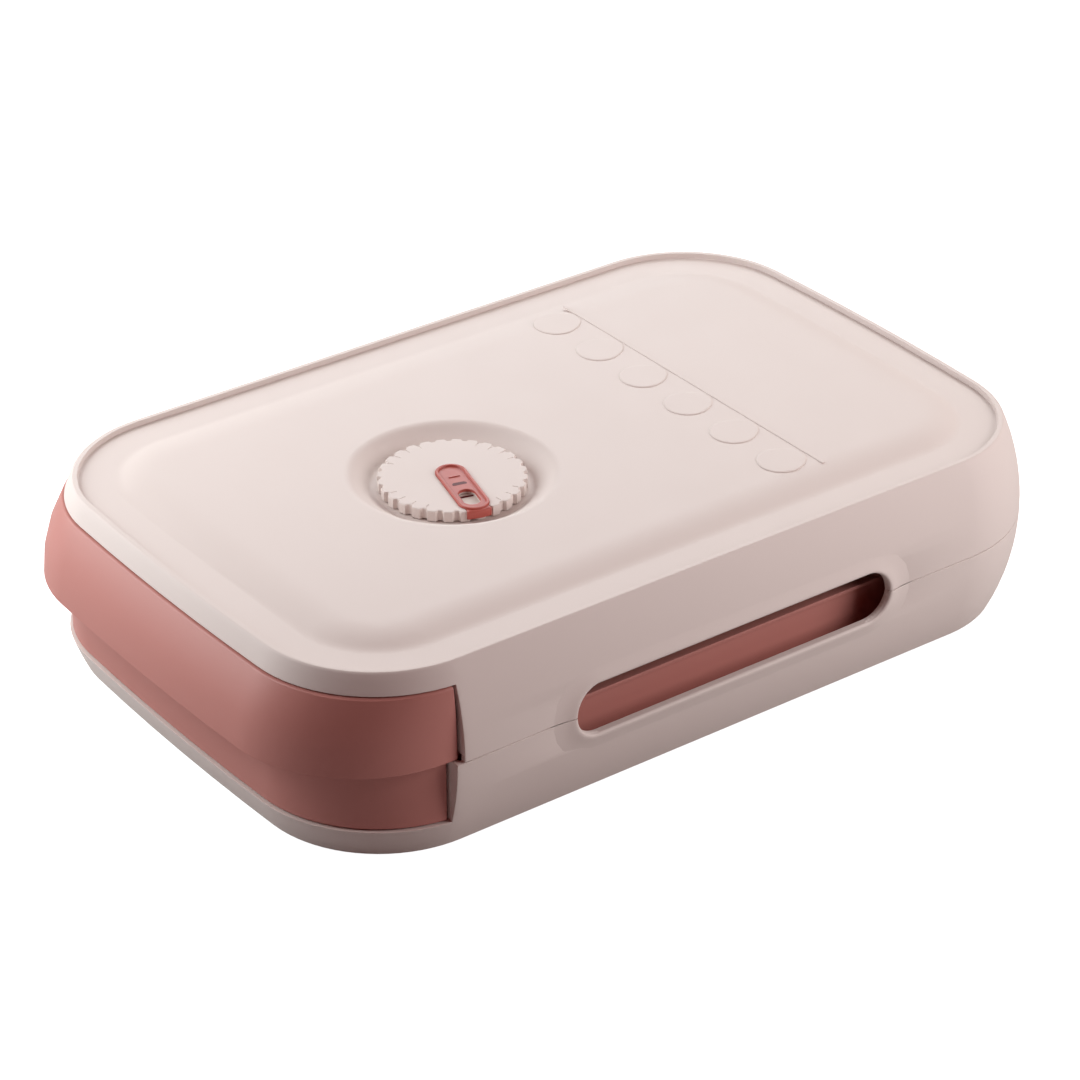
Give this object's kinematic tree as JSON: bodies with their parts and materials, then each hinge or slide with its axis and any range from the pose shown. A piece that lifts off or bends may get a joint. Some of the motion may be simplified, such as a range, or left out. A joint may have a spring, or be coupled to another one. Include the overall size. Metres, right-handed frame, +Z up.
{
  "type": "drawer egg keeper with date dial",
  "caption": "Low rounded two-part sleeve with side slots and a turning date dial on top, holding a pull-out drawer with an egg tray.",
  "frame": {"origin": "middle of the whole footprint, pull lip included, on the surface the keeper stands on", "axes": "+Z up; +Y along the length towards the closed rear, so the drawer opens towards -Y; +X to the right seen from the drawer front"},
  "size_m": [0.2264, 0.3452, 0.0754],
  "materials": {
    "cover_plastic": "satin moulded, pale pink-cream",
    "drawer_plastic": "satin moulded, dusty rose",
    "tray_plastic": "satin moulded, off-white",
    "pointer_plastic": "satin moulded, rose",
    "date_card": "smooth off-white with printed numbers",
    "washer_plastic": "plain natural",
    "screw_steel": "zinc plated",
    "foot_rubber": "soft matte, pale"
  },
  "bodies": {
    "sleeve": {"base_shell": "cover_plastic", "top_cover": "cover_plastic", "date_plate": "date_card", "foot_pad_front_left": "foot_rubber", "foot_pad_front_right": "foot_rubber", "foot_pad_rear_left": "foot_rubber", "foot_pad_rear_right": "foot_rubber"},
    "drawer": {"drawer_tub": "drawer_plastic", "egg_tray": "tray_plastic"},
    "dial": {"dial_wheel": "cover_plastic", "dial_pointer": "pointer_plastic", "dial_washer": "washer_plastic", "dial_screw": "screw_steel"}
  },
  "joints": [
    {"name": "drawer_slide", "type": "slide", "parent": "sleeve", "child": "drawer", "axis": [0, -1, 0], "range_m": [0, 0.27]},
    {"name": "dial_turn", "type": "hinge", "parent": "sleeve", "child": "dial", "pos_m": [0, -0.03875, 0.0694], "axis": [0, 0, 1], "continuous": true}
  ]
}
